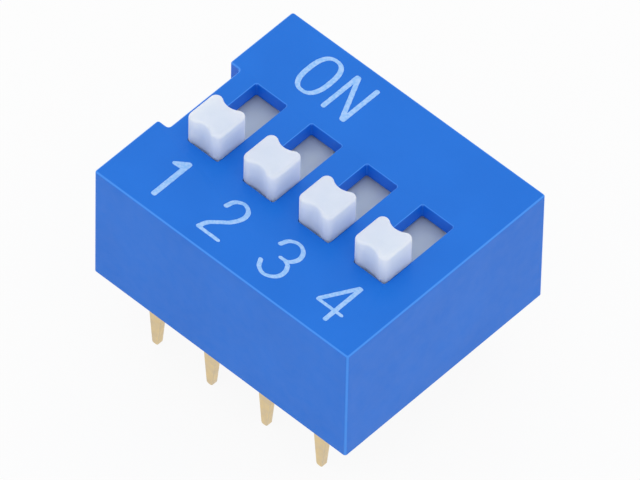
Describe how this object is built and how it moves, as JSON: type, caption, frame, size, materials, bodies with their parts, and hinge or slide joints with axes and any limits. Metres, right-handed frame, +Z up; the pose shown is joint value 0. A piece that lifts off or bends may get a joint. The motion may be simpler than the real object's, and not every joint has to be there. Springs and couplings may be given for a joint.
{
  "type": "dip switch",
  "caption": "Through-hole slide DIP switch: blue box with raised white slide knobs in slots on top and two rows of flat pins below.",
  "frame": {"origin": "middle of the footprint on the seating plane, the cover's lower rim", "axes": "+X along the row of switches from number 1, +Y towards the ON side, +Z up away from the circuit board"},
  "size_m": [0.0116, 0.0098, 0.0097],
  "materials": {
    "cover_plastic": "moulded satin",
    "base_plastic": "moulded matte",
    "slider_plastic": "moulded satin, slightly translucent",
    "sealing_resin": "poured, glossy",
    "contact_spring": "gold-plated",
    "printing_ink": "pad-printed",
    "terminal_plating": "gold-plated, satin"
  },
  "bodies": {
    "housing": {"cover": "cover_plastic", "base": "base_plastic", "seal": "sealing_resin", "terminal_front_1": "terminal_plating", "terminal_front_2": "terminal_plating", "terminal_front_3": "terminal_plating", "terminal_front_4": "terminal_plating", "terminal_back_1": "terminal_plating", "terminal_back_2": "terminal_plating", "terminal_back_3": "terminal_plating", "terminal_back_4": "terminal_plating"},
    "switch_1": {"slider_1": "slider_plastic", "wiper_1": "contact_spring"},
    "switch_2": {"slider_2": "slider_plastic", "wiper_2": "contact_spring"},
    "switch_3": {"slider_3": "slider_plastic", "wiper_3": "contact_spring"},
    "switch_4": {"slider_4": "slider_plastic", "wiper_4": "contact_spring"}
  },
  "joints": [
    {"name": "slide_1", "type": "slide", "parent": "housing", "child": "switch_1", "axis": [0, 1, 0], "range_m": [0, 0.002]},
    {"name": "slide_2", "type": "slide", "parent": "housing", "child": "switch_2", "axis": [0, 1, 0], "range_m": [0, 0.002]},
    {"name": "slide_3", "type": "slide", "parent": "housing", "child": "switch_3", "axis": [0, 1, 0], "range_m": [0, 0.002]},
    {"name": "slide_4", "type": "slide", "parent": "housing", "child": "switch_4", "axis": [0, 1, 0], "range_m": [0, 0.002]}
  ]
}
